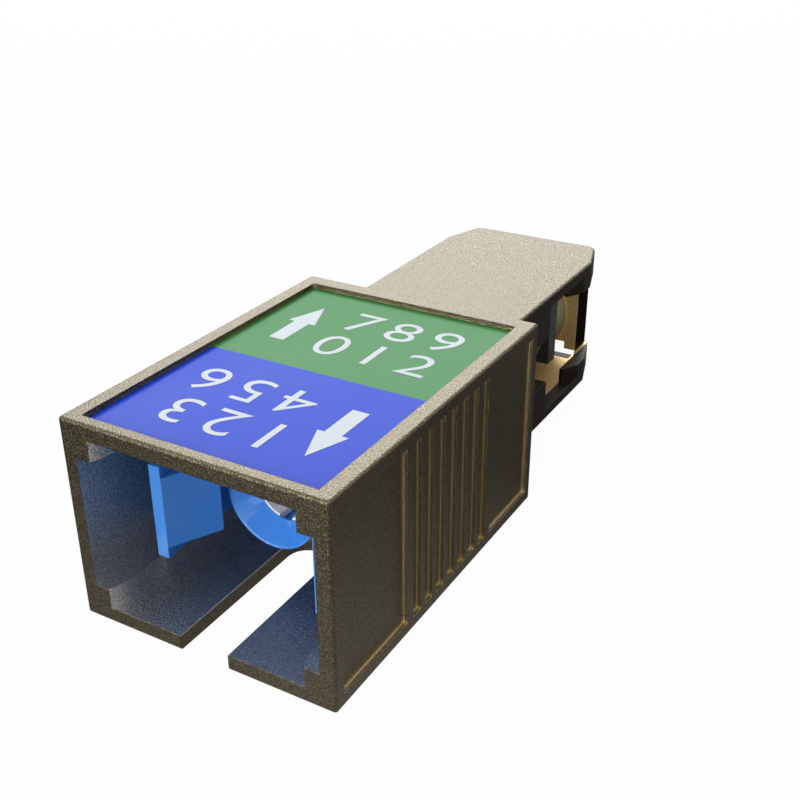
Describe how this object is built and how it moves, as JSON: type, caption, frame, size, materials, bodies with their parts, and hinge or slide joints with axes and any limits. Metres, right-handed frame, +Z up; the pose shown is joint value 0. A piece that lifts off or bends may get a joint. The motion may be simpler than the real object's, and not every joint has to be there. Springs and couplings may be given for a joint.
{
  "type": "hybrid fiber adapter",
  "caption": "Push-pull fibre adapter with a keyed square socket at one end and the matching plug at the other, joining flat and angled polish.",
  "frame": {"origin": "on the base plane, under the middle of the adapter's overall length and width", "axes": "+Y along the optical axis towards the plug's tip, +Z up through the labelled roof, +X to the right seen from the socket"},
  "size_m": [0.0126, 0.0358, 0.0095],
  "materials": {
    "bronze_coat": "bronze-coloured metallic coat over a fine leather grain",
    "bronze_frame": "bronze-coloured metallic coat, fine grain",
    "blue_plastic": "smooth moulded",
    "grey_plastic": "smooth moulded",
    "white_ceramic": "ground ceramic",
    "fibre_glass": "polished end",
    "nickel_steel": "turned, nickel plated",
    "spring_steel": "drawn wire",
    "blue_print": "printed label, gloss film",
    "green_print": "printed label, gloss film"
  },
  "bodies": {
    "housing": {"outer_housing": "bronze_coat", "blue_label": "blue_print", "green_label": "green_print"},
    "inner_unit": {"latch_insert": "blue_plastic", "split_sleeve": "white_ceramic", "spring_carrier": "grey_plastic", "plug_frame": "bronze_frame", "ferrule_spring": "spring_steel"},
    "ferrule_unit": {"stub_ferrule": "white_ceramic", "fibre_core": "fibre_glass", "ferrule_collar": "nickel_steel"}
  },
  "joints": [
    {"name": "release_slide", "type": "slide", "parent": "housing", "child": "inner_unit", "axis": [0, 1, 0], "range_m": [0, 0.0013]},
    {"name": "ferrule_float", "type": "slide", "parent": "inner_unit", "child": "ferrule_unit", "axis": [0, -1, 0], "range_m": [0, 0.0005], "stiffness_N_per_m": 1500, "springref_m": -0.0055, "deforming": ["ferrule_spring"]}
  ]
}
